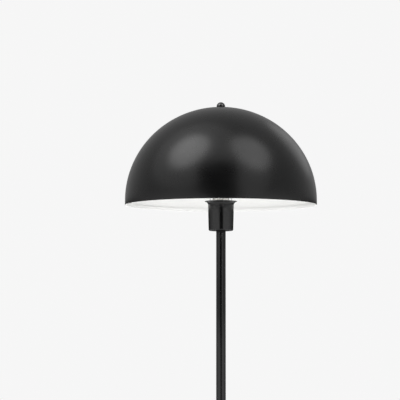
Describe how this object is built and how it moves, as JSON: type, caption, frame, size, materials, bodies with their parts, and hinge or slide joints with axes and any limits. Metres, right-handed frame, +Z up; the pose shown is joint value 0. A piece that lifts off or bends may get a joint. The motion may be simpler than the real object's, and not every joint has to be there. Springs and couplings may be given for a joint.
{
  "type": "mushroom floor lamp",
  "caption": "Floor lamp with a black dome shade over a flared cup, on a thin straight stem with a small collar and a round white marble base.",
  "frame": {"origin": "middle of the underside of the rubber pad, on the floor", "axes": "+Z up the stem, +X to the right seen from the front, +Y to the back, where the cord channel opens"},
  "size_m": [0.3, 0.3, 1.548],
  "materials": {
    "black_powder_coat": "satin black powder coat, matte white inside the shade",
    "black_gloss_paint": "smooth semi-gloss black enamel",
    "white_marble": "honed and polished, fine grey veins",
    "zinc_steel": "bright zinc plate",
    "brass": "stamped, lightly dulled",
    "nickel_cap": "rolled, satin",
    "glazed_porcelain": "white glaze",
    "frosted_glass": "frosted on the inside",
    "black_vitrite": "black glass, glossy",
    "black_rubber": "matte",
    "sheet_rubber": "matte stamped sheet rubber",
    "brown_insulation": "flexible insulation over a copper strand",
    "blue_insulation": "flexible insulation over a copper strand"
  },
  "bodies": {
    "stand": {"base_pad": "sheet_rubber", "base_disc": "white_marble", "cord_bush": "black_rubber", "base_plate_washer": "zinc_steel", "base_lock_washer": "zinc_steel", "base_nut": "zinc_steel", "base_nipple": "zinc_steel", "foot_collar": "black_gloss_paint", "stem_lower": "black_gloss_paint", "stem_middle": "black_gloss_paint", "stem_upper": "black_gloss_paint", "stem_inserts": "zinc_steel", "coupling_nipples": "zinc_steel", "socket_cup": "black_gloss_paint", "cup_nut": "zinc_steel", "cup_nipple": "zinc_steel", "saddle": "zinc_steel", "bow": "zinc_steel", "bow_post": "zinc_steel", "shade_washer": "black_rubber", "holder_bracket": "zinc_steel", "holder_body": "glazed_porcelain", "holder_screws": "zinc_steel", "screw_shell": "brass", "centre_contact": "brass", "contact_rivets": "brass", "lead_live": "brown_insulation", "lead_neutral": "blue_insulation"},
    "bulb": {"bulb_glass": "frosted_glass", "bulb_cap": "nickel_cap", "bulb_insulator": "black_vitrite", "bulb_contact": "brass"},
    "shade": {"shade_shell": "black_powder_coat", "finial_washer": "black_rubber"},
    "finial": {"finial": "black_gloss_paint"}
  },
  "joints": [
    {"name": "bulb_unscrew", "type": "slide", "parent": "stand", "child": "bulb", "axis": [0, 0, 1], "range_m": [0, 0.027]},
    {"name": "shade_lift", "type": "slide", "parent": "stand", "child": "shade", "axis": [0, 0, 1], "range_m": [0, 0.165]},
    {"name": "finial_lift", "type": "slide", "parent": "shade", "child": "finial", "axis": [0, 0, 1], "range_m": [0, 0.012]}
  ]
}
